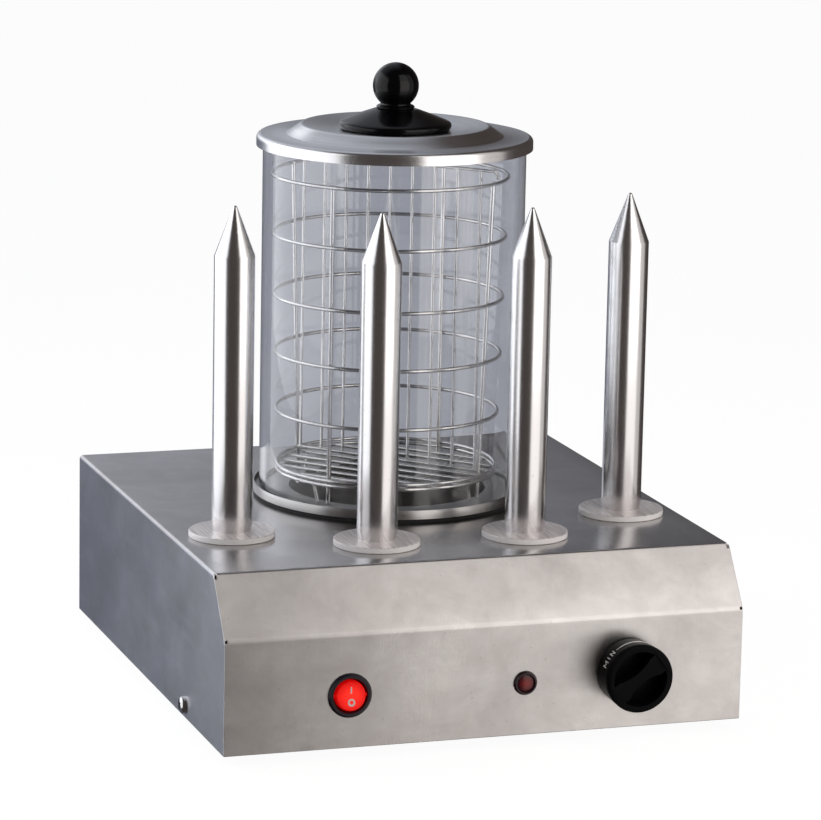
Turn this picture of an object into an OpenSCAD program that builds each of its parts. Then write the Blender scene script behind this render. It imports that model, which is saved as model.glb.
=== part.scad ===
// Countertop hot dog steamer with a glass cylinder, a wire basket and four
// bun-toasting spikes. Millimetres, +Z up, front at -Y.
// Origin: centre of the footprint of the whole object, on the surface it stands on.

/* [Box] */
// width of the folded box
body_width = 350; // [300:1:420]
// depth of the folded box
body_depth = 380; // [330:1:430]
// height of the folded box above its feet
body_height = 112; // [95:1:140]
// height of the vertical part of the front
front_height = 74; // [60:1:90]
// how far the sloped strip runs back
slope_depth = 28; // [15:1:45]
// sheet thickness
sheet = 1; // [0.8:0.1:1.5]
// outside radius of the folds
fold_r = 2.6; // [1.5:0.1:4]
// outside radius of the wider fold along the top of the front
front_fold_r = 8; // [2.6:0.1:12]
// diameter of the bend relief holes
relief_d = 1.8; // [1:0.1:4]

/* [Feet] */
// height of the rubber feet
foot_h = 8; // [5:0.5:15]
// diameter of the feet at the floor
foot_d = 20; // [15:1:30]
// distance of the feet from the front and back edges
foot_inset = 44; // [30:1:60]
// distance of the feet from the middle
foot_x = 131; // [100:1:145]

/* [Water pan] */
// centre of the pan behind the front face
pan_d = 218; // [200:1:240]
// centre of the pan to the right of the middle
pan_x = 1; // [-5:0.5:5]
// outside radius of the pan's skirted rim
rim_r = 91.5; // [85:0.5:100]
// height of the rim above the deck
rim_h = 8.5; // [6:0.5:12]
// height of the ledge above the deck
ledge_h = 6; // [4:0.5:8]
// radius of the pan's well
well_r = 67; // [55:1:75]
// depth of the well below the deck
well_depth = 36; // [20:1:60]

/* [Glass] */
// outside diameter of the glass
glass_d = 177.5; // [160:0.5:200]
// how far the loose glass and its lid stand to the right in the rim
glass_slip = 1.3; // [-1.4:0.1:1.4]
// wall of the glass
glass_wall = 4; // [3:0.5:6]
// length of the glass
glass_len = 240; // [200:1:260]

/* [Basket] */
// radius of the top ring, to the middle of the wire
basket_top_r = 79.5; // [70:0.5:82]
// radius of the lowest ring
basket_low_r = 74.5; // [65:0.5:80]
// wire of the rings
ring_wire = 2.6; // [2:0.1:4]
// wire of the uprights
upright_wire = 3; // [2:0.1:4]
// wire of the divider
divider_wire = 2.2; // [1.5:0.1:3]
// pitch of the divider's bars
divider_pitch = 17; // [12:0.5:25]
// turn of the basket about its axis
basket_turn = -47; // [-90:1:90]
// how far the basket stands to the left of the pan's centre
basket_slip = 1.3; // [-1.4:0.1:1.4]

/* [Lid] */
// outside radius of the lid
lid_r = 93.2; // [90:0.1:100]
// depth of the lid's skirt
lid_skirt = 8; // [5:0.5:15]
// radius of the foot of the raised step
step_low_r = 73; // [60:0.1:80]
// radius of the top of the raised step
step_top_r = 63.7; // [50:0.1:75]
// height of the raised step
step_h = 6.8; // [4:0.2:12]
// depth of the dish inside the step
dish_h = 3.3; // [0:0.1:5]
// diameter of the knob's flange
rosette_d = 76; // [50:1:90]
// diameter of the ball knob
ball_d = 31; // [24:1:40]

/* [Spikes] */
// diameter of the spikes
spike_d = 26.6; // [20:0.1:32]
// height of the spikes' shoulder above the deck
spike_shoulder = 186; // [120:1:220]
// height of the points above the deck
spike_tip = 218; // [150:1:250]
// diameter of the discs
disc_d = 56.6; // [45:0.1:70]
// thickness of the discs
disc_t = 4; // [2:0.5:8]
// inner pair: distance from the middle
inner_x = 51; // [40:1:60]
// inner pair: distance behind the front face
inner_d = 78; // [60:1:100]
// outer pair: distance from the middle
outer_x = 136; // [120:1:145]
// outer pair: distance behind the front face
outer_d = 123; // [100:1:150]

/* [Controls] */
// height of the switch and the lamp above the bottom edge of the box
control_z = 34.4; // [25:0.5:50]
// place of the switch across the front
switch_x = -92.4; // [-130:0.2:-60]
// diameter of the switch bezel
bezel_d = 29; // [25:0.5:35]
// place of the lamp across the front
lamp_x = 25.5; // [0:0.5:50]
// diameter of the lamp bezel
lamp_d = 16; // [12:0.5:20]
// place of the thermostat knob across the front
knob_x = 96; // [70:0.5:120]
// height of the knob's axis above the bottom edge of the box
knob_z = 38; // [30:0.5:50]
// diameter of the thermostat knob
knob_d = 45; // [35:0.5:55]
// how far the knob stands out from the front
knob_proud = 23; // [15:0.5:30]
// angle of the grip bar in the off position
grip_angle = 36; // [0:1:90]
// tilt of the rocker on each side of level
rocker_tilt = 6; // [3:0.5:10]

/* [Hidden] */
$fn = 64;
eps = 0.01;
rear_proud = 3.2;
mid_d = (body_depth + rear_proud - knob_proud) / 2;
z0 = foot_h;
zd = z0 + body_height;
zb = z0 + front_height;
xh = body_width / 2;
slope_a = atan2(zd - zb, slope_depth);
zl = zd + ledge_h;
glass_z = zl + 0.1;
glass_top = glass_z + glass_len;
lid_z = glass_top + 0.1 + sheet;
step_z = lid_z + step_h;
dish_z = step_z - dish_h;
ball_z = dish_z + 29.5;
cz = z0 + control_z;
kz = z0 + knob_z;

// every module below works from the front face: y is the distance behind it
module placed() { translate([0, -mid_d, 0]) children(); }
module at_pan() { placed() translate([pan_x, pan_d, 0]) children(); }
module at_glass() { at_pan() translate([glass_slip, 0, 0]) children(); }
module at_basket() { at_pan() translate([-basket_slip, 0, 0]) children(); }
// a cylinder along +Y from y = a to y = b
module ycyl(a, b, r) { translate([0, a, 0]) rotate([-90, 0, 0]) cylinder(h = b - a, r = r); }
module ycone(a, b, ra, rb) { translate([0, a, 0]) rotate([-90, 0, 0]) cylinder(h = b - a, r1 = ra, r2 = rb); }
// a straight wire between two points
module wire(p, q, r) {
  v = q - p; l = norm(v);
  translate(p) rotate([0, acos(v[2] / l), atan2(v[1], v[0])]) cylinder(h = l, r = r, $fn = 24);
}
// points of the arc that rounds corner b between a and c
function unit(v) = v / norm(v);
function arc_pts(a, b, c, r, n) =
  let (u = unit(a - b), v = unit(c - b), h = acos(u * v) / 2, t = r / tan(h),
       m = b + unit(u + v) * r / sin(h), p = b + u * t - m, q = b + v * t - m,
       s = acos((p * q) / (r * r)), w = (p[0] * q[1] - p[1] * q[0]) > 0 ? 1 : -1)
  [for (i = [0:n]) let (k = w * s * i / n) m + [p[0] * cos(k) - p[1] * sin(k), p[0] * sin(k) + p[1] * cos(k)]];

// side outline of the box: g = how far inside the outer face, lo and back = open ends
module side_outline(g, r, lo, back) {
  d1 = 90 - slope_a;
  B = [g, zb - g * tan(d1 / 2)];
  C = [slope_depth + g * tan(slope_a / 2), zd - g];
  polygon(concat([[g, lo]], arc_pts([g, lo], B, C, r + front_fold_r - fold_r, 5), arc_pts(B, C, [back, zd - g], r, 5),
    [[back, zd - g], [back, lo]]));
}
module front_outline(g, r, lo) {
  A = [-xh + g, zd - g]; B = [xh - g, zd - g];
  polygon(concat([[-xh + g, lo]], arc_pts([-xh + g, lo], A, B, r, 5), arc_pts(A, B, [xh - g, lo], r, 5), [[xh - g, lo]]));
}
module box_solid(g, r, lo, back) {
  intersection() {
    translate([-xh + g, 0, 0]) rotate([90, 0, 90]) linear_extrude(body_width - 2 * g) side_outline(g, r, lo, back);
    translate([0, back, 0]) rotate([90, 0, 0]) linear_extrude(back) front_outline(g, r, lo);
  }
}
module spike_places() {
  for (p = [[-outer_x, outer_d], [-inner_x, inner_d], [inner_x, inner_d], [outer_x, outer_d]])
    translate([p[0], p[1], 0]) children();
}
module place_n(i) {
  p = [[-outer_x, outer_d], [-inner_x, inner_d], [inner_x, inner_d], [outer_x, outer_d]][i];
  placed() translate([p[0], p[1], 0]) children();
}
module rear_holes(r, a, b) {
  for (x = [-150, 0, 150], z = [z0 + 8, zd - 8]) translate([x, 0, z]) ycyl(a, b, r);
}

module housing() color([0.78, 0.77, 0.76]) placed() difference() {
  union() {
    difference() {
      box_solid(0, fold_r, z0, body_depth);
      box_solid(sheet, fold_r - sheet, z0 - 5, body_depth + 5);
    }
    // rear return flanges
    for (s = [-1, 1]) translate([s > 0 ? xh - 13 : -xh + 1, body_depth - 1, z0]) cube([12, 1, body_height - 1 + eps]);
    translate([-xh + 1, body_depth - 1, zd - 14]) cube([body_width - 2, 1, 13 + eps]);
  }
  translate([pan_x, pan_d, zd - 5]) cylinder(h = 10, r = well_r + 2.5);
  spike_places() translate([0, 0, zd - 5]) cylinder(h = 10, r = 8.3);
  translate([switch_x, 0, cz]) ycyl(-2, 4, 12.6);
  translate([lamp_x, 0, cz]) ycyl(-2, 4, 6.1);
  translate([knob_x, 0, kz]) ycyl(-2, 4, 5.2);
  for (s = [-1, 1]) {
    translate([s * xh, 95, z0 + 7.7]) rotate([0, 90, 0]) cylinder(h = 10, r = 2.2, center = true);
    // relief holes where two folds meet at a corner
    translate([s * (xh - sheet - 0.1), 0, zb]) rotate([-90 + (90 - slope_a) / 2, 0, 0]) cylinder(h = 8, r = relief_d / 2, center = true);
    translate([s * (xh - sheet - 0.1), slope_depth, zd]) rotate([-slope_a / 2, 0, 0]) cylinder(h = 8, r = relief_d / 2, center = true);
  }
  rear_holes(1.7, body_depth - 4, body_depth + 4);
}

module rear_panel() color([0.72, 0.72, 0.72]) placed() difference() {
  translate([-xh + 2, body_depth, z0 + 1.2]) cube([body_width - 4, 1, body_height - 3.2]);
  rear_holes(2.2, body_depth - 1, body_depth + 3);
  translate([-96, body_depth, z0 + 40]) { cube([28, 6, 20.4], center = true); }
  for (s = [-1, 1]) translate([-96 + s * 20, 0, z0 + 40]) ycyl(body_depth - 1, body_depth + 3, 1.8);
  for (i = [0:8], k = [0, 1]) translate([18 + i * 14, body_depth - 1, z0 + 24 + k * 36]) cube([5, 4, 24]);
}

module base_tray() color([0.66, 0.66, 0.66]) placed() difference() {
  translate([-xh + 1.3, 1.3, z0]) cube([body_width - 2.6, body_depth - 2.6, 16]);
  translate([-xh + 2.3, 2.3, z0 + 1]) cube([body_width - 4.6, body_depth - 4.6, 20]);
  for (x = [-150, 0, 150]) translate([x, 0, z0 + 8]) ycyl(body_depth - 5, body_depth, 1.75);
  for (x = [-foot_x, foot_x], y = [foot_inset, body_depth - foot_inset]) translate([x, y, z0 - 1]) cylinder(h = 4, r = 2.7);
  for (s = [-1, 1]) translate([s * xh, 95, z0 + 7.7]) rotate([0, 90, 0]) cylinder(h = 10, r = 1.75, center = true);
  for (i = [-6:6]) translate([i * 15 - 2.5, pan_d - 60, z0 - 1]) cube([5, 120, 4]);
}

module feet() color([0.07, 0.07, 0.07]) placed()
  for (x = [-foot_x, foot_x], y = [foot_inset, body_depth - foot_inset]) translate([x, y, 0]) difference() {
    rotate_extrude() polygon([[0, 0], [foot_d / 2 - 1, 0], [foot_d / 2, 1], [foot_d / 2 - 1.6, foot_h], [0, foot_h]]);
    translate([0, 0, -1]) cylinder(h = 5, r = 5.2);
    cylinder(h = 20, r = 2.6);
  }

module foot_screws() color([0.75, 0.75, 0.72]) placed()
  for (x = [-foot_x, foot_x], y = [foot_inset, body_depth - foot_inset]) translate([x, y, 0]) union() {
    difference() {
      translate([0, 0, 1.2]) cylinder(h = 2.8, r = 4.4);
      for (a = [0, 90]) rotate(a) translate([-2.6, -0.5, 0]) cube([5.2, 1, 2.6]);
    }
    translate([0, 0, 4 - eps]) cylinder(h = 9, r = 2.4);
    translate([0, 0, z0 + 1]) cylinder(h = 3.6, r = 4.4, $fn = 6);
  }

// pan head with a cross recess, head on +X, seat at x = 0
module pan_head(r, h, l, sr) {
  rotate([0, 90, 0]) difference() {
    union() {
      rotate_extrude() polygon([[0, 0], [r, 0], [r, h * 0.45], [r * 0.93, h * 0.72], [r * 0.78, h * 0.9], [r * 0.5, h], [0, h]]);
      translate([0, 0, -l]) cylinder(h = l + eps, r = sr);
    }
    for (a = [45, 135]) rotate(a) translate([-r * 0.55, -r * 0.11, h * 0.4]) cube([r * 1.1, r * 0.22, h]);
  }
}
module side_screws() color([0.8, 0.8, 0.78]) placed()
  for (s = [-1, 1]) translate([s * xh, 95, z0 + 7.7]) rotate([0, 0, s > 0 ? 0 : 180]) pan_head(5.6, 3.2, 7, 1.7);
module rear_screws() color([0.8, 0.8, 0.78]) placed()
  for (x = [-150, 0, 150], z = [z0 + 8, zd - 8]) translate([x, body_depth + 1, z]) rotate([0, 0, 90]) pan_head(3.6, 2.2, 6, 1.6);

module water_pan() color([0.74, 0.74, 0.74]) at_pan() rotate_extrude($fn = 128) polygon([
  [0, zd - well_depth - 1], [well_r - 4, zd - well_depth - 1], [well_r - 1.2, zd - well_depth + 0.2], [well_r + 1, zd - well_depth + 3],
  [well_r + 1, zl - 1], [rim_r - 1, zl - 1], [rim_r - 1, zd + 2.4], [rim_r, zd + 2.4],
  [rim_r, zd + rim_h - 0.7], [rim_r - 0.3, zd + rim_h - 0.15], [rim_r - 0.7, zd + rim_h], [rim_r - 1.1, zd + rim_h - 0.3],
  [rim_r - 1.1, zl], [well_r, zl], [well_r, zd - well_depth + 3.3], [well_r - 1.8, zd - well_depth + 0.9], [well_r - 4.2, zd - well_depth], [0, zd - well_depth]]);

module pan_gasket() color([0.05, 0.05, 0.05]) at_pan() rotate_extrude($fn = 128) polygon([
  [well_r + 2.6, zd], [rim_r - 0.8, zd], [rim_r - 0.8, zd + 2.35],
  [rim_r - 1.2, zd + 2.35], [rim_r - 1.2, zl - 1.05], [well_r + 2.6, zl - 1.05]]);

module heating_ring() color([0.35, 0.33, 0.32]) at_pan() translate([0, 0, zd - well_depth - 1 - 3.3]) {
  rotate([0, 0, 100]) rotate_extrude(angle = 340) translate([48, 0]) circle(r = 3.2, $fn = 32);
  for (a = [100, 80]) rotate([0, 0, a]) translate([48, 0, 0]) {
    sphere(r = 3.2, $fn = 32);
    translate([0, 0, -22]) cylinder(h = 22, r = 3.2, $fn = 32);
    translate([0, 0, -30]) cylinder(h = 9, r = 1.6, $fn = 24);
  }
}
module element_clip() color([0.7, 0.7, 0.68]) at_pan() translate([0, 0, zd - well_depth - 1]) difference() {
  union() {
    for (a = [0, 180]) rotate([0, 0, a - 15]) translate([34, -6, -8.4]) cube([28, 12, 1.6]);
    for (a = [0, 180], x = [34, 60]) rotate([0, 0, a - 15]) translate([x, -6, -8]) cube([2, 12, 7.95]);
  }
  translate([0, 0, -40]) cylinder(h = 30, r = 1);
}
module thermal_cutout() color([0.82, 0.8, 0.74]) at_pan() translate([0, 0, zd - well_depth - 1]) difference() {
  union() {
    translate([0, 0, -3.05]) cylinder(h = 3, r = 9.5);
    translate([0, 0, -13]) cylinder(h = 10.5, r = 8);
    for (s = [-1, 1]) translate([s * 4 - 0.4, -3.1, -22]) cube([0.8, 6.3, 10]);
  }
  for (s = [-1, 1]) translate([s * 4, 0, -19]) rotate([0, 90, 0]) cylinder(h = 6, r = 1, center = true);
}
module thermostat_body() color([0.86, 0.84, 0.78]) placed() translate([knob_x, 0, kz]) difference() {
  union() {
    ycyl(1.05, 3, 14);
    translate([-17, 3, -17]) cube([34, 24, 34]);
    for (x = [-10, 0, 10]) translate([x - 3.2, 26, -10]) cube([6.4, 9, 0.8]);
    ycyl(26, 29, 4);
  }
  ycyl(-1, 20, 3.3);
  for (x = [-10, 0, 10]) translate([x, 32, -12]) cylinder(h = 6, r = 0.9);
}
module capillary() color([0.72, 0.45, 0.3]) placed() {
  p = [[knob_x, 28.5, kz], [knob_x, 60, kz], [knob_x, 110, kz + 14], [70, 150, kz + 22], [60, 190, zd - well_depth - 8], [40, 200, zd - well_depth - 16.4]];
  for (i = [0:4]) wire(p[i], p[i + 1] + 0.5 * unit(p[i + 1] - p[i]), i % 2 == 0 ? 0.9 : 0.87);
  translate([42, 200, zd - well_depth - 16.4]) rotate([0, -90, 0]) cylinder(h = 70, r = 3, $fn = 32);
}
module terminal_block() color([0.9, 0.88, 0.82]) placed() translate([-110, 300, z0 + 1]) difference() {
  union() {
    cube([46, 18, 4]);
    for (i = [0:2]) translate([3 + i * 14, 2, 3.9]) cube([12, 14, 12]);
  }
  for (i = [0:2]) translate([9 + i * 14, 9, 10]) {
    cylinder(h = 10, r = 2.4);
    rotate([90, 0, 0]) cylinder(h = 30, r = 2, center = true);
  }
}
module mains_inlet() color([0.06, 0.06, 0.06]) placed() translate([-96, body_depth + 1, z0 + 40]) {
  difference() {
    union() {
      translate([-25, 0.02, -11.5]) cube([50, 2.2, 23]);
      translate([-13.8, -24, -10]) cube([27.6, 25, 20]);
    }
    translate([-12, -16, -8.3]) cube([24, 22, 16.6]);
    for (s = [-1, 1]) translate([s * 20, 0, 0]) { ycyl(-2, 5, 1.8); ycone(0.6, 2.3, 1.9, 3.6); }
  }
  for (x = [-7, 0, 7]) translate([x - 1, -34, (x == 0 ? 2.4 : -3.4) - 2]) cube([2, 32, 4]);
}
module inlet_screws() color([0.8, 0.8, 0.78]) placed() for (s = [-1, 1]) translate([-96 + s * 20, body_depth + 1, z0 + 40]) difference() {
  union() { ycone(0.65, 2.2, 1.75, 3.25); ycyl(-5, 0.7, 1.45); }
  for (a = [0, 90]) rotate([0, a, 0]) translate([-1.8, 1.3, -0.35]) cube([3.6, 2, 0.7]);
}

module spike_disc(i) color([0.85, 0.85, 0.85]) place_n(i) difference() {
  translate([0, 0, zd]) rotate_extrude($fn = 96) polygon([[0, 0], [disc_d / 2 - 0.4, 0], [disc_d / 2, 0.4], [disc_d / 2, disc_t - 0.4], [disc_d / 2 - 0.4, disc_t], [0, disc_t]]);
  translate([0, 0, zd - 1]) cylinder(h = 10, r = 8.1);
}
module spike(i) color([0.85, 0.85, 0.86]) place_n(i) difference() {
  union() {
    rotate_extrude($fn = 96) polygon([[0, zd - 16], [7.4, zd - 16], [8, zd - 15.4], [8, zd + disc_t], [spike_d / 2 - 1.1, zd + disc_t],
      [spike_d / 2 - 0.25, zd + disc_t + 3.6], [spike_d / 2, zd + disc_t + 4.2],
      [spike_d / 2, zd + spike_shoulder - 0.6], [spike_d / 2 - 0.25, zd + spike_shoulder], [1.7, zd + spike_tip - 1.9],
      [1.3, zd + spike_tip - 0.9], [0.7, zd + spike_tip - 0.25], [0, zd + spike_tip]]);
  }
  translate([0, 0, zd - 20]) cylinder(h = 20 + spike_shoulder - 8, r = 5.2);
}
module spike_heaters() color([0.55, 0.55, 0.55]) placed() spike_places() {
  translate([0, 0, zd - 8]) cylinder(h = 160, r = 5);
  for (s = [-1, 1]) translate([s * 2.4, 0, zd - 30]) cylinder(h = 22.5, r = 1.3, $fn = 24);
}
module spike_nuts() color([0.75, 0.75, 0.72]) placed() spike_places() difference() {
  union() {
    translate([0, 0, zd - 2.6]) cylinder(h = 1.55, r = 14);
    translate([0, 0, zd - 10.6]) cylinder(h = 8, r = 13.2, $fn = 6);
  }
  translate([0, 0, zd - 12]) cylinder(h = 14, r = 8.05);
}

module switch_frame() color([0.13, 0.11, 0.14]) placed() translate([switch_x, 0, cz]) difference() {
  union() {
    ycyl(-0.6, 0, bezel_d / 2);
    ycone(-2, -0.6, bezel_d / 2 - 1.3, bezel_d / 2);
    ycyl(-0.1, 20, 12.4);
  }
  ycyl(-4, 9, 11.1);
  ycone(-2.2, -1, 11.7, 11.1);
  translate([0, 0.6, 0]) rotate([0, 90, 0]) cylinder(h = 23.4, r = 1.26, center = true);
}
module switch_tabs() color([0.85, 0.8, 0.6]) placed() translate([switch_x, 0, cz]) difference() {
  for (z = [-7, 0, 7]) translate([-2.4, 20, z - 0.4]) cube([4.8, 9, 0.8]);
  for (z = [-7, 0, 7]) translate([0, 26, z]) cylinder(h = 4, r = 0.8, center = true);
}
// rocker: a ball-sided key with two shallow faces, on a cross pin at y = 0.6
module rocker() color([0.85, 0.05, 0.04]) placed() translate([switch_x, 0.6, cz]) rotate([-rocker_tilt, 0, 0]) {
  difference() {
    rotate([0, 0, 90]) sphere(r = 10.1, $fn = 96);
    rotate([-rocker_tilt, 0, 0]) translate([-20, -23.4, -20]) cube([40, 20, 20 + eps]);
    rotate([rocker_tilt, 0, 0]) translate([-20, -23.4, -eps]) cube([40, 20, 20]);
    translate([-20, 4.4, -20]) cube([40, 20, 40]);
  }
  rotate([0, 90, 0]) cylinder(h = 23, r = 1.2, center = true, $fn = 32);
}
module rocker_marks() color([0.95, 0.9, 0.9]) placed() translate([switch_x, 0.6, cz]) rotate([-rocker_tilt, 0, 0]) {
  rotate([rocker_tilt, 0, 0]) translate([-0.45, -3.52, 2.0]) cube([0.9, 0.3, 4.2]);
  rotate([-rocker_tilt, 0, 0]) translate([0, -3.52, -4.6]) difference() { ycyl(0, 0.3, 2.45); ycyl(-1, 1, 1.25); }
}
module lamp_bezel() color([0.12, 0.09, 0.09]) placed() translate([lamp_x, 0, cz]) difference() {
  union() {
    ycyl(-0.5, 0, lamp_d / 2);
    ycone(-2.2, -0.5, lamp_d / 2 - 1, lamp_d / 2);
    ycyl(-0.1, 24, 5.9);
    translate([0, 1.1, 0]) rotate([-90, 0, 0]) cylinder(h = 3, r = 9.2, $fn = 6);
    for (s = [-1, 1]) translate([s * 2.6 - 0.4, 23, -2]) cube([0.8, 8, 4]);
  }
  ycyl(-4, 8, 5.1);
  ycyl(-2.3, -0.9, 6.2);
}
module lamp_lens() color([0.45, 0.08, 0.06]) placed() translate([lamp_x, 0, cz]) {
  ycyl(-1.2, 7.5, 5.05);
  intersection() {
    translate([0, 9.6, 0]) sphere(r = 12.2, $fn = 96);
    ycyl(-4, -0.92, 6.1);
  }
}

// thermostat knob on its own axis, front towards -Y
module control_knob() color([0.04, 0.04, 0.04]) placed() translate([knob_x, 0, kz]) rotate([0, -grip_angle, 0]) difference() {
  r = knob_d / 2; f = -knob_proud;
  ri = r - 4.4;
  rotate([90, 0, 0]) rotate_extrude($fn = 96) polygon([[0, 8], [5, 8], [5, 1.2], [r - 1.5, 1.2], [r - 0.8, 1.9], [r, knob_proud - 1.6], [r - 0.5, knob_proud - 0.5], [r - 1.6, knob_proud], [0, knob_proud]]);
  // two crescent recesses beside a waisted grip bar
  for (s = [-1, 1]) difference() {
    intersection() {
      ycyl(f - 1, f + 13, ri);
      translate([-30, f - 1, s > 0 ? 0 : -30]) cube([60, 14, 30]);
    }
    difference() {
      translate([-30, f - 2, -6.6]) cube([60, 16, 13.2]);
      translate([0, 0, s * 33]) ycyl(f - 3, f + 15, 29.4);
    }
  }
  // dished top of the bar, below the rim
  translate([0, f - 24.6, 0]) rotate([0, 90, 0]) cylinder(h = 2 * ri - 1, r = 26.4, center = true);
  ycyl(-16, 1, 3.05);
  rotate([90, 0, 0]) difference() { translate([0, 0, -1]) cylinder(h = 7, r = r - 2.6); translate([0, 0, -2]) cylinder(h = 20, r = 6); }
}
// strokes on the knob's side wall: a = angle round the knob, y = distance from the front of the knob
module stroke(a1, y1, a2, y2, w) {
  rr = knob_d / 2 - 0.36;
  l = norm([(a2 - a1) * PI / 180 * rr, y2 - y1]);
  am = (a1 + a2) / 2; ym = (y1 + y2) / 2;
  t = atan2(y2 - y1, (a2 - a1) * PI / 180 * rr);
  rotate([0, -am, 0]) translate([rr, -knob_proud + ym, 0]) rotate([-t, 0, 0]) translate([-0.2, -w / 2, -l / 2 - 0.2]) cube([0.38, w, l + 0.4]);
}
module knob_marks() color([0.92, 0.92, 0.92]) placed() translate([knob_x, 0, kz]) {
  for (i = [0:17]) stroke(127 - i * 5.2, 10.2 + i * 0.12, 127 - (i + 1) * 5.2, 10.3 + i * 0.12, 0.5 + i * 0.16);
  // the three letters of the minimum mark, read round the skirt
  stroke(132.5, 8, 132.5, 12.6, 0.6);
  stroke(132.5, 8, 139, 12.6, 0.6);
  stroke(139, 8, 139, 12.6, 0.6);
  stroke(146, 8, 146, 12.6, 0.6);
  stroke(152.4, 8, 152.4, 12.6, 0.6);
  stroke(152.4, 12.6, 157, 9.4, 0.6);
  stroke(157, 9.4, 161.6, 12.6, 0.6);
  stroke(161.6, 8, 161.6, 12.6, 0.6);
}
module knob_shaft() color([0.7, 0.7, 0.7]) placed() translate([knob_x, 0, kz]) rotate([0, -grip_angle, 0]) difference() {
  ycyl(-15, 19, 3);
  translate([-5, -16, 1.6]) cube([10, 12, 5]);
}

module glass_cylinder() color([0.85, 0.93, 0.95, 0.3]) at_glass() translate([0, 0, glass_z]) rotate_extrude($fn = 128)
  polygon([[glass_d / 2 - glass_wall, 0.5], [glass_d / 2 - glass_wall + 0.5, 0], [glass_d / 2 - 0.5, 0], [glass_d / 2, 0.5],
    [glass_d / 2, glass_len - 0.8], [glass_d / 2 - 0.8, glass_len], [glass_d / 2 - glass_wall + 0.8, glass_len], [glass_d / 2 - glass_wall, glass_len - 0.8]]);

ring_z = [221, 180.7, 139, 99.9, 59.9, 22.4, 19.2];
function ring_r(h) = basket_low_r + (basket_top_r - basket_low_r) * (h - 22.4) / (221 - 22.4);
module basket_ring(i) color([0.8, 0.8, 0.8]) at_basket() translate([0, 0, zd + ring_z[i]])
  rotate_extrude($fn = 128) translate([i == 6 ? basket_low_r : ring_r(ring_z[i]), 0]) circle(r = ring_wire / 2, $fn = 24);
// uprights inside the rings, each with a second short leg beside it
module basket_uprights() color([0.8, 0.8, 0.8]) at_basket() for (k = [0:3]) rotate([0, 0, basket_turn + 90 * k]) {
  o = -(ring_wire + upright_wire) / 2 + 0.3;
  wire([ring_r(221) + o, 0, zd + 222], [ring_r(6.4) + o, -2.9, zl + 0.4], upright_wire / 2);
  wire([basket_low_r - 3.9, -15.8, zd + 22.4], [basket_low_r - 3.9, -11.5, zl + 0.4], 1.15);
}
// parallel rods of the basket floor, held between the lowest ring and two cross rods
module basket_floor() color([0.78, 0.78, 0.78]) at_basket() rotate([0, 0, basket_turn]) {
  r = 1.3;
  for (s = [-1, 1], i = [0:3]) let (y = 7.75 + i * 15.5, l = sqrt(pow(basket_low_r - ring_wire / 2, 2) - pow(y + r, 2)))
    wire([-l, s * y, zd + 19.2], [l, s * y, zd + 19.2], r);
  for (s = [-1, 1]) wire([s * 30, -66.1, zd + 17], [s * 30, 66.1, zd + 17], 1.2);
}
// flat grid across the middle of the basket, with a hook at each end
module divider() color([0.8, 0.8, 0.8]) at_basket() rotate([0, 0, basket_turn]) {
  r = divider_wire / 2; lo = 24.5; hi = 229; e = basket_top_r;
  for (i = [-4:4]) wire([i * divider_pitch, 0, zd + lo], [i * divider_pitch, 0, zd + hi], r);
  wire([-70, 0, zd + lo], [70, 0, zd + lo], r);
  wire([-e + 1.6, 0, zd + hi], [e - 1.6, 0, zd + hi], r);
  for (s = [-1, 1]) {
    translate([s * (e - 1.6), 0, zd + hi]) sphere(r = r * 1.06, $fn = 24);
    wire([s * (e - 1.6), 0, zd + hi], [s * (e + 0.6), 0, zd + hi - 4], r);
    translate([s * (e + 0.6), 0, zd + hi - 4]) sphere(r = r * 1.06, $fn = 24);
  }
}

module lid() color([0.8, 0.8, 0.81]) at_glass() difference() {
  dish_r = rosette_d / 2 + 0.5;
  rotate_extrude($fn = 128) polygon([
    [0, dish_z], [dish_r, dish_z], [step_top_r - 1.7, step_z - 0.12], [step_top_r - 0.6, step_z], [step_top_r + 0.3, step_z - 0.4],
    [step_low_r - 0.4, lid_z + 0.5], [step_low_r + 0.8, lid_z], [lid_r - 3, lid_z], [lid_r - 3, lid_z - 1],
    [step_low_r, lid_z - 1], [step_low_r - 1.3, lid_z - 0.5],
    [step_top_r - 0.5, step_z - 1.4], [step_top_r - 1.7, step_z - 1.13], [dish_r, dish_z - 1], [0, dish_z - 1]]);
  translate([0, 0, dish_z - 3]) cylinder(h = 6, r = 2.8);
}
module lid_rim() color([0.8, 0.8, 0.81]) at_glass() rotate_extrude($fn = 128) polygon([
  [lid_r - 3, lid_z], [lid_r - 1.85, lid_z - 0.23], [lid_r - 0.88, lid_z - 0.88], [lid_r - 0.23, lid_z - 1.85],
  [lid_r, lid_z - 3], [lid_r, lid_z - lid_skirt], [lid_r - 1, lid_z - lid_skirt], [lid_r - 1, lid_z - 3],
  [lid_r - 1.15, lid_z - 2.23], [lid_r - 1.6, lid_z - 1.6], [lid_r - 2.23, lid_z - 1.15], [lid_r - 3, lid_z - 1]]);
module lid_rosette() color([0.03, 0.03, 0.035]) at_glass() translate([0, 0, dish_z + 0.01]) difference() {
  R = rosette_d / 2;
  rotate_extrude($fn = 96) polygon([[0, 0], [R - 2.5, 0], [R - 0.9, 0.9], [R - 0.1, 2.4], [R, 3.4], [R - 0.3, 4.4], [R - 1.2, 5.2],
    [R - 3, 6], [R - 8, 8], [R - 14, 10.3], [R - 20, 12.5], [R - 24, 13.9], [0, 14]]);
  translate([0, 0, -1]) cylinder(h = 20, r = 2.8);
}
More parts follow.
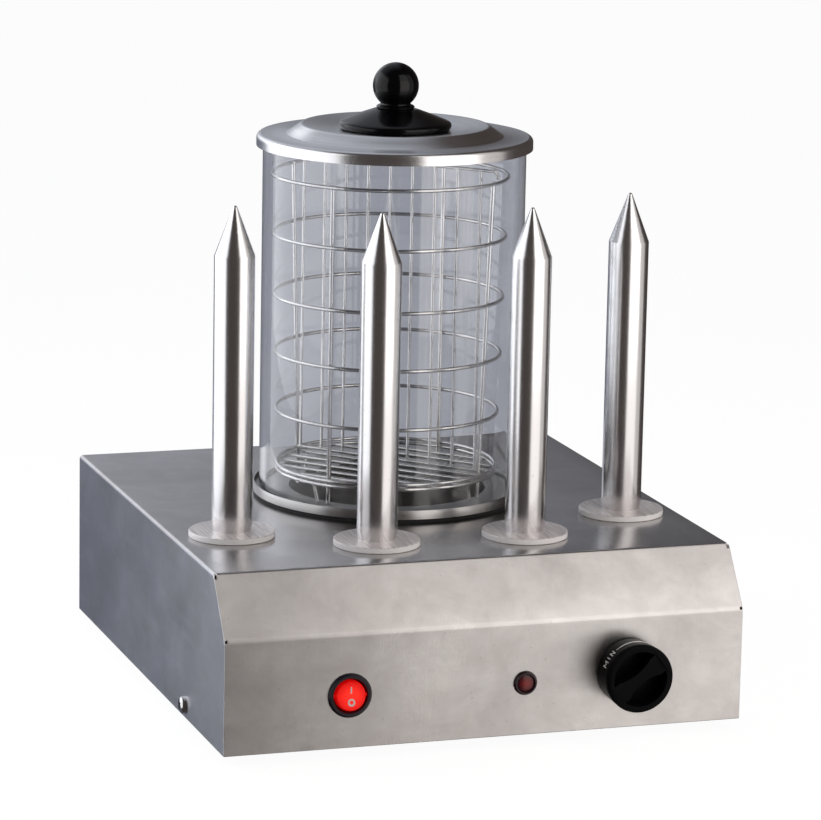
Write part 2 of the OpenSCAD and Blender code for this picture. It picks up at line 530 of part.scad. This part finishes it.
module lid_ball() color([0.03, 0.03, 0.035]) at_glass() difference() {
  za = dish_z + 14.03;
  union() {
    translate([0, 0, ball_z]) sphere(r = ball_d / 2, $fn = 128);
    rotate_extrude($fn = 96) polygon([[0, za], [12.1, za], [12.7, za + 0.5], [12.9, za + 1.4], [12.3, za + 2.1], [10.6, za + 2.8], [9.4, za + 5], [0, za + 6]]);
  }
  translate([0, 0, za - 1]) cylinder(h = 15, r = 2.45);
}
module lid_screw() color([0.75, 0.75, 0.74]) at_glass() difference() {
  union() {
    translate([0, 0, dish_z - 1.9]) cylinder(h = 0.88, r = 6);
    rotate_extrude() polygon([[0, dish_z - 4.9], [2.6, dish_z - 4.9], [4, dish_z - 4.2], [4.6, dish_z - 3], [4.6, dish_z - 1.85], [0, dish_z - 1.85]]);
    translate([0, 0, dish_z - 2]) cylinder(h = 26, r = 2.4);
  }
  for (a = [0, 90]) rotate(a) translate([-2.4, -0.45, dish_z - 6]) cube([4.8, 0.9, 2.6]);
}

module basket_ring_1() basket_ring(0);
module basket_ring_2() basket_ring(1);
module basket_ring_3() basket_ring(2);
module basket_ring_4() basket_ring(3);
module basket_ring_5() basket_ring(4);
module basket_ring_6() basket_ring(5);
module basket_ring_7() basket_ring(6);
module spike_disc_1() spike_disc(0);
module spike_disc_2() spike_disc(1);
module spike_disc_3() spike_disc(2);
module spike_disc_4() spike_disc(3);
module spike_1() spike(0);
module spike_2() spike(1);
module spike_3() spike(2);
module spike_4() spike(3);

housing();
rear_panel();
base_tray();
feet();
foot_screws();
side_screws();
rear_screws();
water_pan();
pan_gasket();
heating_ring();
element_clip();
thermal_cutout();
thermostat_body();
capillary();
terminal_block();
mains_inlet();
inlet_screws();
spike_disc_1();
spike_disc_2();
spike_disc_3();
spike_disc_4();
spike_1();
spike_2();
spike_3();
spike_4();
spike_heaters();
spike_nuts();
switch_frame();
switch_tabs();
lamp_bezel();
lamp_lens();
rocker();
rocker_marks();
control_knob();
knob_marks();
knob_shaft();
glass_cylinder();
basket_ring_1();
basket_ring_2();
basket_ring_3();
basket_ring_4();
basket_ring_5();
basket_ring_6();
basket_ring_7();
basket_uprights();
basket_floor();
divider();
lid();
lid_rim();
lid_rosette();
lid_ball();
lid_screw();
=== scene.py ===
import math
import bpy
import bmesh
from mathutils import Matrix, Vector


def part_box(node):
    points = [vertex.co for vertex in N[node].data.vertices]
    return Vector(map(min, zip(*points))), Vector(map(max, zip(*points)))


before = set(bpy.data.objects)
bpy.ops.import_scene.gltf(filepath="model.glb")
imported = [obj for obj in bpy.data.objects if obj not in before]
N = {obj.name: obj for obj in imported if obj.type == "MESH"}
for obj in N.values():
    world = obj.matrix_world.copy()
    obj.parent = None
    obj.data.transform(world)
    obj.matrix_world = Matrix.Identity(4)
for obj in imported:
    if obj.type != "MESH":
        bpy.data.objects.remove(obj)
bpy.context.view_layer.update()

scene = bpy.context.scene


def centre(node):
    lo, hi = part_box(node)
    return (lo + hi) / 2


def shade(colour, k):
    """A colour made k times as bright, kept within 1."""
    return tuple(min(1.0, b * k) for b in colour)


# ---------------------------------------------------------------- node helpers
class Tree:
    """A small wrapper that builds a material's node tree."""

    def __init__(self, name):
        self.m = bpy.data.materials.new(name)
        self.m.use_nodes = True
        self.t = self.m.node_tree
        self.t.nodes.clear()
        self.out = self.add("ShaderNodeOutputMaterial")
        self.p = self.add("ShaderNodeBsdfPrincipled")
        self.link(self.p.outputs[0], self.out.inputs["Surface"])
        self.co = self.add("ShaderNodeTexCoord").outputs["Object"]

    def add(self, kind, **kw):
        n = self.t.nodes.new(kind)
        for k, v in kw.items():
            setattr(n, k, v)
        return n

    def link(self, a, b):
        self.t.links.new(a, b)

    def put(self, sock, v):
        if isinstance(v, bpy.types.NodeSocket):
            self.link(v, sock)
        elif v is not None:
            sock.default_value = v

    def set(self, **kw):
        for k, v in kw.items():
            self.put(self.p.inputs[k.replace("_", " ")], v)

    def math(self, op, a, b=None):
        n = self.add("ShaderNodeMath", operation=op)
        for i, v in enumerate((a, b)):
            self.put(n.inputs[i], v)
        return n.outputs[0]

    def plus(self, a, b):
        return self.math("ADD", a, b)

    def times(self, a, b):
        return self.math("MULTIPLY", a, b)

    def reach(self, a, b):
        """Distance from the axis, from two coordinates across it."""
        return self.math("SQRT", self.plus(self.times(a, a), self.times(b, b)))

    def xyz(self, v=None):
        n = self.add("ShaderNodeSeparateXYZ")
        self.link(v or self.co, n.inputs[0])
        return n.outputs

    def vec(self, x=0.0, y=0.0, z=0.0):
        n = self.add("ShaderNodeCombineXYZ")
        for i, v in enumerate((x, y, z)):
            self.put(n.inputs[i], v)
        return n.outputs[0]

    def vector(self, op, a, b):
        n = self.add("ShaderNodeVectorMath", operation=op)
        self.put(n.inputs[0], a)
        self.put(n.inputs[1], b)
        return n.outputs["Value" if op == "DOT_PRODUCT" else "Vector"]

    def scaled(self, v, s):
        return self.vector("MULTIPLY", v, s)

    def moved(self, v, s):
        return self.vector("ADD", v, s)

    def normal(self):
        return self.add("ShaderNodeNewGeometry").outputs["Normal"]

    def noise(self, v, scale, detail=3.0, rough=0.55, dist=0.0):
        n = self.add("ShaderNodeTexNoise")
        self.put(n.inputs["Vector"], v)
        n.inputs["Scale"].default_value = scale
        n.inputs["Detail"].default_value = detail
        n.inputs["Roughness"].default_value = rough
        n.inputs["Distortion"].default_value = dist
        return n.outputs[0]

    def span(self, f, a, b, lo=0.0, hi=1.0):
        """f from a..b to lo..hi, clamped."""
        n = self.add("ShaderNodeMapRange")
        for i, v in enumerate((f, a, b, lo, hi)):
            self.put(n.inputs[i], v)
        return n.outputs[0]

    def mix(self, f, a, b):
        n = self.add("ShaderNodeMix", data_type="RGBA")
        self.put(n.inputs[0], f)
        for i, v in ((6, a), (7, b)):
            if isinstance(v, tuple) and len(v) == 3:
                v = (*v, 1.0)
            self.put(n.inputs[i], v)
        return n.outputs[2]

    def bump(self, h, strength, dist):
        n = self.add("ShaderNodeBump")
        n.inputs["Strength"].default_value = strength
        n.inputs["Distance"].default_value = dist
        self.put(n.inputs["Height"], h)
        self.put(self.p.inputs["Normal"], n.outputs[0])
        return n


# ---------------------------------------------------------------- materials
def sheet_steel(name, dark=1.0, rough=0.3, soft_edge=0.0):
    """Satin sheet; the grain follows the sheet round its folds, and hands have smudged it."""
    m = Tree(name)
    x, y, z = m.xyz()
    normal = m.normal()
    nx, ny, nz = m.xyz(normal)

    # which way the sheet faces
    side = m.math("GREATER_THAN", m.math("ABSOLUTE", nx), 0.7)
    top = m.math("SUBTRACT", 1.0, side)
    deck = m.span(nz, 0.8, 0.98)
    front = m.math("SUBTRACT", 1.0, m.math("MAXIMUM", side, deck))
    across = m.plus(m.times(x, top), m.times(z, side))
    along = m.math("SUBTRACT", y, m.times(z, top))

    def grain(stretch, seed):
        return m.vec(across, m.times(along, stretch), m.plus(m.times(side, 3.0), seed))

    fine = m.noise(grain(0.03, 0.0), 1500, 3, 0.7)
    mid = m.noise(grain(0.02, 1.7), 380, 3, 0.6)
    broad = m.noise(grain(0.25, 5.0), 30, 3, 0.6, 0.3)
    scratch = m.span(m.noise(grain(0.15, 9.0), 800, 1, 0.5), 0.74, 0.8)
    cloud = m.noise(m.co, 11, 4, 0.6, 0.5)
    smear = m.noise(m.moved(m.co, (3.1, 1.3, 2.2)), 32, 4, 0.65, 0.9)
    speck = m.span(m.noise(m.moved(m.co, (0.3, 5.1, 1.2)), 420, 1, 0.4), 0.76, 0.8)
    mottle = m.noise(m.moved(m.scaled(m.co, (1.0, 1.0, 1.6)), (7.1, 2.2, 0.4)), 21, 5, 0.68, 0.4)
    brushed = m.plus(m.times(fine, 0.6), m.times(mid, 0.4))
    # the front is handled most, so it is the dirtiest
    dirt = m.span(front, 0.0, 1.0, 0.3, 1.0)

    def layer(c, amount, colour):
        return m.mix(amount, c, shade(colour, dark))

    c = m.mix(m.span(brushed, 0.32, 0.68), shade((0.585, 0.57, 0.56), dark), shade((0.625, 0.61, 0.60), dark))
    c = layer(c, m.span(broad, 0.35, 0.7, 0.0, 0.35), (0.53, 0.515, 0.505))
    c = layer(c, m.times(m.span(smear, 0.5, 0.78, 0.0, 0.45), dirt), (0.44, 0.425, 0.415))
    c = m.mix(m.times(m.times(speck, 0.35), dirt), c, (0.16, 0.15, 0.14))
    c = m.mix(m.times(m.times(scratch, 0.12), dirt), c, (0.8, 0.79, 0.78))
    # painted reflection: the side faces are tinted darker and bluer, as the cool surroundings they mirror
    c = layer(c, m.times(side, 0.5), (0.50, 0.53, 0.60))
    c = layer(c, m.span(mottle, 0.42, 0.66, 0.0, 0.42), (0.40, 0.375, 0.365))
    c = layer(c, m.span(mottle, 0.42, 0.3, 0.0, 0.3), (0.74, 0.73, 0.72))
    # painted shade: the upward-facing deck is darkened a little towards blue-black
    c = m.mix(m.times(deck, 0.18), c, (0.0, 0.0, 0.04))

    blotch = m.times(m.span(cloud, 0.3, 0.7, -0.05, 0.07), m.span(front, 0.0, 1.0, 0.35, 1.0))
    r = m.plus(m.span(brushed, 0.3, 0.7, rough - 0.02, rough + 0.03), blotch)
    r = m.math("SUBTRACT", r, m.times(deck, 0.07))

    h = m.plus(m.times(brushed, m.span(front, 0.0, 1.0, 0.12, 0.26)),
               m.times(cloud, m.span(front, 0.0, 1.0, 1.5, 5.0)))
    relief = m.bump(h, 0.25, 0.0002)

    # edges are broken by a fraction of a millimetre in the shading, and their colour is lightened as a painted
    # highlight
    if soft_edge:
        bevel = m.add("ShaderNodeBevel", samples=8)
        bevel.inputs["Radius"].default_value = soft_edge
        edge_highlight = m.span(m.vector("DOT_PRODUCT", bevel.outputs[0], normal), 0.985, 0.9)
        # painted highlight: the broken edges are lightened towards white, and made a little rougher
        c = m.mix(m.times(edge_highlight, 0.75), c, (0.95, 0.95, 0.95))
        r = m.plus(r, m.times(edge_highlight, 0.12))
        m.link(bevel.outputs[0], relief.inputs["Normal"])

    m.set(Base_Color=c, Metallic=1.0, Roughness=r, Anisotropic=0.8, Tangent=m.vec(top, 0.0, side))
    return m.m


def turned(name, node, base, rough, pitch, aniso, wear, rings):
    """Metal turned or spun about the node's upright axis, with its fine tool rings."""
    m = Tree(name)
    axis = centre(node)
    x, y, z = m.xyz(m.moved(m.co, (-axis.x, -axis.y, 0.0)))
    rad = m.reach(x, y)
    ring = m.noise(m.vec(rad, z, m.times(x, 0.01)), pitch, 2, 0.6)
    ring2 = m.noise(m.vec(rad, z, 0.5), pitch / 6, 2, 0.6)
    cloud = m.noise(m.co, 24, 4, 0.6, 0.5)
    spot = m.span(m.noise(m.co, 260, 2, 0.5), 0.66, 0.76)
    f = m.plus(m.times(ring, 0.6), m.times(ring2, 0.4))
    c = m.mix(m.span(f, 0.3, 0.7), shade(base, 1 - 0.16 * rings), shade(base, 1 + 0.1 * rings))
    c = m.mix(m.span(cloud, 0.45, 0.75, 0.0, wear), c, shade(base, 0.8))
    c = m.mix(m.times(spot, 0.25), c, shade(base, 0.6))
    r = m.plus(m.span(f, 0.3, 0.7, rough - 0.03 * rings, rough + 0.05 * rings),
               m.span(cloud, 0.4, 0.7, -0.02, 0.05 * wear))
    # the tangent runs at right angles to the rings
    across = m.vector("CROSS_PRODUCT", m.vec(m.times(y, -1.0), x, 0.0), m.normal())
    m.set(Base_Color=c, Metallic=1.0, Roughness=r, Anisotropic=aniso, Tangent=across)
    m.bump(f, 0.12 * rings, 0.0001)
    return m.m


def disc_metal(name, base):
    """Sawn and sanded disc: straight marks from front to back; the rim is sanded matte and its colour is lifted to
    near white as a painted highlight.
    """
    m = Tree(name)
    x, y, z = m.xyz()
    drawn = m.times(y, 0.04)
    line = m.noise(m.vec(x, drawn, 0.3), 700, 2, 0.6)
    fine = m.noise(m.vec(x, drawn, 2.3), 2600, 2, 0.6)
    cloud = m.noise(m.co, 40, 4, 0.6, 0.5)
    rim = m.span(m.math("ABSOLUTE", m.xyz(m.normal())[2]), 0.6, 0.3)
    c = m.mix(m.span(line, 0.35, 0.6), shade(base, 0.66), base)
    c = m.mix(m.span(cloud, 0.45, 0.75, 0.0, 0.3), c, shade(base, 0.8))
    # painted highlight: the rim faces are lifted to near white
    c = m.mix(rim, c, (1.0, 0.99, 0.985))
    m.set(Base_Color=c, Metallic=m.span(rim, 0.0, 1.0, 0.38, 0.0), Roughness=m.span(fine, 0.3, 0.7, 0.3, 0.42),
          Anisotropic=0.5, Tangent=m.vec(1.0, 0.0, 0.0))
    m.bump(m.plus(line, m.times(fine, 0.4)), 0.12, 0.0002)
    return m.m


def bright_wire(name, base, rough):
    m = Tree(name)
    f = m.noise(m.co, 900, 3, 0.6)
    cloud = m.noise(m.co, 60, 3, 0.6)
    c = m.mix(m.span(f, 0.3, 0.7), shade(base, 0.86), shade(base, 1.08))
    c = m.mix(m.span(cloud, 0.5, 0.75, 0.0, 0.35), c, shade(base, 0.6))
    m.set(Base_Color=c, Metallic=1.0, Roughness=m.span(cloud, 0.3, 0.7, rough - 0.05, rough + 0.1))
    m.bump(f, 0.1, 0.0001)
    return m.m


def plastic(name, base, rough, grain, grain_scale, dust, spec):
    """Moulded plastic or rubber: texture of height grain, and dust in its pores."""
    m = Tree(name)
    cloud = m.noise(m.co, 45, 4, 0.6, 0.4)
    fine = m.noise(m.co, grain_scale, 3, 0.6)
    spots = m.span(m.noise(m.co, 700, 1, 0.4), 0.7, 0.78)
    c = m.mix(m.span(cloud, 0.35, 0.75, 0.0, 0.5), base, shade(base, 0.7))
    c = m.mix(m.times(spots, dust), c, (0.45, 0.43, 0.42))
    r = m.plus(m.span(cloud, 0.3, 0.7, rough - 0.04, rough + 0.07), m.span(fine, 0.3, 0.7, -0.02, 0.04))
    m.set(Base_Color=c, Roughness=r, Specular_IOR_Level=spec)
    m.bump(m.plus(m.times(fine, grain), m.times(cloud, 0.6)), 0.12, 0.00015)
    return m.m


def from_centre(m, node):
    """Distance from the middle of a piece on the front panel, across the panel."""
    c = centre(node)
    x, y, z = m.xyz(m.moved(m.co, (-c.x, -c.y, -c.z)))
    return m.reach(x, z)


def red_key(name):
    """Clear red acrylic key, lit from inside by its neon."""
    m = Tree(name)
    cloud = m.noise(m.co, 320, 3, 0.6, 0.3)
    glow = m.span(m.plus(from_centre(m, "rocker"), m.times(cloud, 0.004)), 0.004, 0.0125, 1.0, 0.0)
    m.set(Base_Color=m.mix(glow, (0.50, 0.002, 0.003), (0.90, 0.012, 0.006)),
          Roughness=m.span(cloud, 0.3, 0.7, 0.18, 0.3), Specular_IOR_Level=0.15,
          Emission_Color=m.mix(glow, (0.5, 0.0, 0.0), (1.0, 0.035, 0.02)), Emission_Strength=0.75)
    m.bump(cloud, 0.08, 0.0001)
    return m.m


def lamp_red(name):
    """Unlit dark red lens, redder where its neon sits behind it."""
    m = Tree(name)
    cloud = m.noise(m.co, 420, 3, 0.6, 0.3)
    core = m.span(m.plus(from_centre(m, "lamp_lens"), m.times(cloud, 0.0015)), 0.0012, 0.0065, 1.0, 0.0)
    m.set(Base_Color=m.mix(core, (0.03, 0.008, 0.014), (0.26, 0.022, 0.016)),
          Roughness=m.span(cloud, 0.3, 0.7, 0.24, 0.34), Specular_IOR_Level=0.35)
    m.bump(cloud, 0.05, 0.0001)
    return m.m


def clear_glass(name):
    """Drawn glass with faint upright streaks of steam."""
    m = Tree(name)
    cloud = m.noise(m.co, 14, 4, 0.6, 0.3)
    streak = m.noise(m.scaled(m.co, (1.0, 1.0, 0.12)), 90, 3, 0.6)
    m.set(Base_Color=m.mix(m.span(cloud, 0.35, 0.7), (0.97, 0.975, 0.98), (0.94, 0.95, 0.96)),
          Roughness=m.times(m.span(streak, 0.55, 0.8), 0.035), Transmission_Weight=1.0, IOR=1.47)
    m.bump(cloud, 0.015, 0.0004)
    return m.m


def ceramic(name):
    m = Tree(name)
    f = m.noise(m.co, 900, 4, 0.7)
    cloud = m.noise(m.co, 60, 3, 0.6)
    m.set(Base_Color=m.mix(m.span(cloud, 0.3, 0.7), (0.72, 0.68, 0.60), (0.82, 0.79, 0.72)),
          Roughness=m.span(f, 0.3, 0.7, 0.5, 0.7))
    m.bump(f, 0.2, 0.0002)
    return m.m


def heated(name):
    """Element steel, browned by its own heat."""
    m = Tree(name)
    f = m.noise(m.co, 300, 4, 0.7)
    cloud = m.noise(m.co, 40, 3, 0.6, 0.6)
    c = m.mix(m.span(cloud, 0.3, 0.7), (0.10, 0.085, 0.075), (0.22, 0.17, 0.13))
    c = m.mix(m.span(f, 0.55, 0.75, 0.0, 0.4), c, (0.32, 0.26, 0.2))
    m.set(Base_Color=c, Metallic=0.9, Roughness=m.span(f, 0.3, 0.7, 0.38, 0.6))
    m.bump(f, 0.25, 0.0002)
    return m.m


STEEL = sheet_steel("brushed_sheet", soft_edge=0.0008)
INNER = sheet_steel("tray_sheet", dark=0.82, rough=0.38)
WIRE = bright_wire("bright_wire", (0.62, 0.615, 0.61), 0.14)
ZINC = bright_wire("zinc_fixings", (0.62, 0.63, 0.62), 0.3)
COPPER = bright_wire("copper", (0.66, 0.36, 0.22), 0.3)
BLACK = plastic("moulded_black", (0.003, 0.003, 0.004), rough=0.3, grain=1.0, grain_scale=2400, dust=0.0, spec=0.035)
GLOSS = plastic("gloss_black", (0.002, 0.002, 0.003), rough=0.13, grain=0.0, grain_scale=1800, dust=0.0, spec=0.24)
BEZEL = plastic("bezel_black", (0.016, 0.012, 0.02), rough=0.3, grain=0.8, grain_scale=2600, dust=0.02, spec=0.3)
LAMPB = plastic("lamp_bezel", (0.02, 0.007, 0.01), rough=0.26, grain=0.4, grain_scale=2600, dust=0.02, spec=0.35)
RUBBER = plastic("rubber", (0.018, 0.018, 0.018), rough=0.62, grain=1.0, grain_scale=1200, dust=0.12, spec=0.3)
PRINT = plastic("white_print", (0.80, 0.78, 0.76), rough=0.4, grain=0.6, grain_scale=2200, dust=0.0, spec=0.5)
CERAMIC = ceramic("ceramic")
HEATED = heated("heated_steel")
DISC = disc_metal("disc_metal", (0.97, 0.91, 0.89))
BRIGHT = (0.80, 0.80, 0.81)
SPUN = turned("spun_lid", "lid", BRIGHT, rough=0.24, pitch=1500, aniso=0.75, wear=0.2, rings=0.7)
RIM = turned("spun_rim", "lid", BRIGHT, rough=0.26, pitch=2400, aniso=0.2, wear=0.2, rings=0.4)
PAN = turned("spun_pan", "water_pan", (0.42, 0.415, 0.41), rough=0.3, pitch=1300, aniso=0.4, wear=0.35, rings=1.0)

# every node that isn't listed here is a wire of the basket or the divider
paint = {
    "housing": STEEL, "rear_panel": STEEL, "base_tray": INNER, "feet": RUBBER, "foot_screws": ZINC,
    "side_screws": WIRE, "rear_screws": WIRE, "water_pan": PAN, "pan_gasket": RUBBER, "heating_ring": HEATED,
    "element_clip": ZINC, "thermal_cutout": CERAMIC, "thermostat_body": CERAMIC, "capillary": COPPER,
    "terminal_block": CERAMIC, "mains_inlet": BLACK, "inlet_screws": ZINC, "spike_heaters": HEATED,
    "spike_nuts": ZINC, "switch_frame": BEZEL, "switch_tabs": COPPER, "lamp_bezel": LAMPB,
    "lamp_lens": lamp_red("lamp_red"), "rocker": red_key("red_key"), "rocker_marks": PRINT,
    "control_knob": BLACK, "knob_marks": PRINT, "knob_shaft": ZINC, "glass_cylinder": clear_glass("clear_glass"),
    "lid": SPUN, "lid_rim": RIM, "lid_rosette": GLOSS, "lid_ball": GLOSS, "lid_screw": ZINC,
}
for i in (1, 2, 3, 4):
    paint[f"spike_{i}"] = turned(f"spike_metal_{i}", f"spike_{i}", BRIGHT, rough=0.25, pitch=2400, aniso=0.2,
                                 wear=0.1, rings=0.03)
    paint[f"spike_disc_{i}"] = DISC

WELD_GAP = 1e-6
SHARP = math.radians(32)


def finish_cad(o, material):
    """Joins the importer's split corners and shades the curved faces smooth."""
    o.data.materials.clear()
    o.data.materials.append(material)
    if "custom_normal" in o.data.attributes:
        o.data.attributes.remove(o.data.attributes["custom_normal"])
    o.data.shade_smooth()
    w = o.modifiers.new("join", "WELD")
    w.merge_threshold = WELD_GAP
    e = o.modifiers.new("edges", "EDGE_SPLIT")
    e.split_angle = SHARP
    e.use_edge_sharp = False


for name, o in N.items():
    finish_cad(o, paint.get(name, WIRE))


# ---------------------------------------------------------------- stage
def paper_floor():
    """White paper for the camera, which the metal doesn't mirror; the glass shows the grey studio behind it."""
    mesh = bpy.data.meshes.new("floor")
    bm = bmesh.new()
    bmesh.ops.create_grid(bm, x_segments=8, y_segments=8, size=14)
    bm.to_mesh(mesh)
    bm.free()
    o = bpy.data.objects.new("floor", mesh)
    scene.collection.objects.link(o)
    o.visible_glossy = False
    o.visible_diffuse = False
    o.visible_shadow = False
    m = Tree("floor_paper")
    fibre = m.span(m.noise(m.co, 3, 3, 0.5), 0.3, 0.7)
    behind_glass = m.mix(fibre, (0.33, 0.34, 0.385), (0.27, 0.28, 0.32))
    seen = m.add("ShaderNodeLightPath").outputs["Is Camera Ray"]
    m.set(Base_Color=m.mix(fibre, (0.10, 0.10, 0.10), (0.11, 0.11, 0.11)), Roughness=0.9, Specular_IOR_Level=0.0,
          Emission_Color=m.mix(seen, behind_glass, (0.95, 0.95, 0.95)), Emission_Strength=1.0)
    mesh.materials.append(m.m)


def studio():
    """A dim room: bluish behind on the left, dark towards the camera, no light overhead."""
    world = bpy.data.worlds.new("studio")
    scene.world = world
    world.use_nodes = True
    t = world.node_tree
    t.nodes.clear()
    out = t.nodes.new("ShaderNodeOutputWorld")
    bg = t.nodes.new("ShaderNodeBackground")
    t.links.new(bg.outputs[0], out.inputs[0])
    xyz = t.nodes.new("ShaderNodeSeparateXYZ")
    t.links.new(t.nodes.new("ShaderNodeTexCoord").outputs["Generated"], xyz.inputs[0])
    x, y, z = xyz.outputs

    def span(sock, a, b):
        n = t.nodes.new("ShaderNodeMapRange")
        n.interpolation_type = "SMOOTHSTEP"
        t.links.new(sock, n.inputs[0])
        for i, v in enumerate((a, b, 0.0, 1.0)):
            n.inputs[i + 1].default_value = v
        return n.outputs[0]

    def times(a, b):
        n = t.nodes.new("ShaderNodeMath")
        n.operation = "MULTIPLY"
        t.links.new(a, n.inputs[0])
        t.links.new(b, n.inputs[1])
        return n.outputs[0]

    def blend(f, a, b):
        n = t.nodes.new("ShaderNodeMix")
        n.data_type = "RGBA"
        t.links.new(f, n.inputs[0])
        for i, v in ((6, a), (7, b)):
            if isinstance(v, tuple):
                n.inputs[i].default_value = (*v, 1)
            else:
                t.links.new(v, n.inputs[i])
        return n.outputs[2]

    back_left = times(span(y, -0.1, 0.5), span(x, 0.46, 0.14))
    lifted = times(back_left, span(z, -0.1, 0.02))
    window = times(times(span(x, 0.14, -0.06), span(y, 0.5, 0.75)), times(span(z, 0.05, 0.12), span(z, 0.6, 0.4)))
    c = blend(back_left, (0.058, 0.048, 0.044), (0.115, 0.126, 0.16))
    c = blend(lifted, c, (0.47, 0.49, 0.54))
    c = blend(window, c, (1.15, 1.17, 1.25))
    t.links.new(c, bg.inputs["Color"])


def softbox(name, ends, heights, radiance, colour):
    """An upright soft light between two points of the floor plan, facing the object."""
    (x0, y0), (x1, y1) = ends
    z0, z1 = heights
    width = math.hypot(x1 - x0, y1 - y0)
    data = bpy.data.lights.new(name, "AREA")
    data.shape = "RECTANGLE"
    data.size = width
    data.size_y = z1 - z0
    data.energy = radiance * math.pi * width * (z1 - z0)
    data.color = colour
    o = bpy.data.objects.new(name, data)
    scene.collection.objects.link(o)
    o.visible_camera = False
    x = Vector((x1 - x0, y1 - y0, 0)).normalized()
    z = x.cross(Vector((0, 0, 1)))
    mid = Vector(((x0 + x1) / 2, (y0 + y1) / 2, (z0 + z1) / 2))
    if z.dot(mid) < 0:
        x, z = -x, -z
    y = z.cross(x)
    o.matrix_world = placed(x, y, z, mid)


def placed(x, y, z, at):
    """The matrix of an object with these axes at this place."""
    return Matrix((*((x[i], y[i], z[i], at[i]) for i in range(3)), (0, 0, 0, 1)))


paper_floor()
studio()
WARM = (1.0, 0.955, 0.925)
COOL = (0.97, 0.975, 1.0)
KEY = ((0.06, -0.705), (0.77, -0.55))
KEY_SIDE = ((0.77, -0.55), (1.15, -0.15))
FILL = ((-1.07, -0.545), (-0.73, 1.12))
softbox("key_low", KEY, (-0.6, 0.12), 1.12, WARM)
softbox("key", KEY, (0.12, 0.75), 1.75, WARM)
softbox("key_high", KEY, (0.75, 1.5), 1.2, WARM)
softbox("key_side", KEY_SIDE, (-0.6, 1.4), 0.55, WARM)
softbox("fill_left", FILL, (-0.3, 1.2), 1.3, COOL)

# the camera's axes and place
RIGHT = (0.949544, -0.313049, 0.019136)
UP = (0.046714, 0.2015, 0.978374)
BACK = (-0.310135, -0.928115, 0.205957)
PLACE = (-0.85758, -2.57975, 0.75769)
cam_data = bpy.data.cameras.new("camera")
cam = bpy.data.objects.new("camera", cam_data)
scene.collection.objects.link(cam)
scene.camera = cam
cam_data.sensor_width = 36
cam_data.lens = 181.038
cam_data.clip_end = 60
cam.matrix_world = placed(RIGHT, UP, BACK, PLACE)
scene.view_settings.view_transform = "Standard"
scene.view_settings.look = "None"
